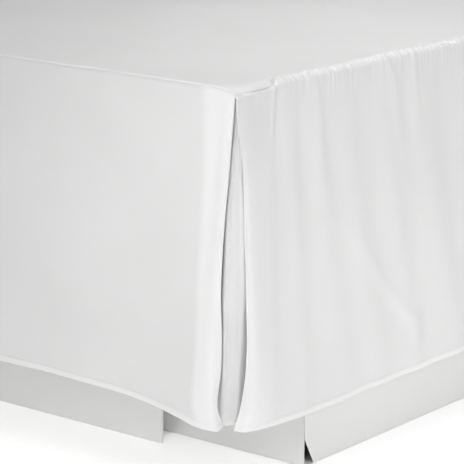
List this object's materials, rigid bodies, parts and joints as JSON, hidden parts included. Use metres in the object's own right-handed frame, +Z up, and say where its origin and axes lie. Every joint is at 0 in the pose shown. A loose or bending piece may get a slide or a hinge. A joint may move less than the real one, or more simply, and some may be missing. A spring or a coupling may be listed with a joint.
{
  "type": "bed skirt on bed base",
  "caption": "Bed skirt with a flat foot panel, lightly gathered sides and split corners with underlays, hanging over a plain bed base that stands on plinth boards.",
  "frame": {"origin": "centre of the bounding box's underside, on the floor", "axes": "+Z up, -Y towards the foot of the bed, +X to the right seen from the foot"},
  "size_m": [1.6136, 2.0918, 0.4833],
  "materials": {
    "skirt_cloth": "fine plain-weave cotton, white, matt",
    "base_cloth": "plain woven cover, off-white, matt",
    "painted_board": "painted pale grey, satin"
  },
  "bodies": {
    "root": {"deck": "skirt_cloth", "foot_drop": "skirt_cloth", "side_drop_left": "skirt_cloth", "side_drop_right": "skirt_cloth", "corner_underlay_left": "skirt_cloth", "corner_underlay_right": "skirt_cloth", "bed_foundation": "base_cloth", "plinth_foot": "painted_board", "plinth_head": "painted_board", "plinth_side_left": "painted_board", "plinth_side_right": "painted_board", "plinth_fascia": "painted_board", "fascia_cleat_left": "painted_board", "fascia_cleat_right": "painted_board"}
  },
  "joints": []
}
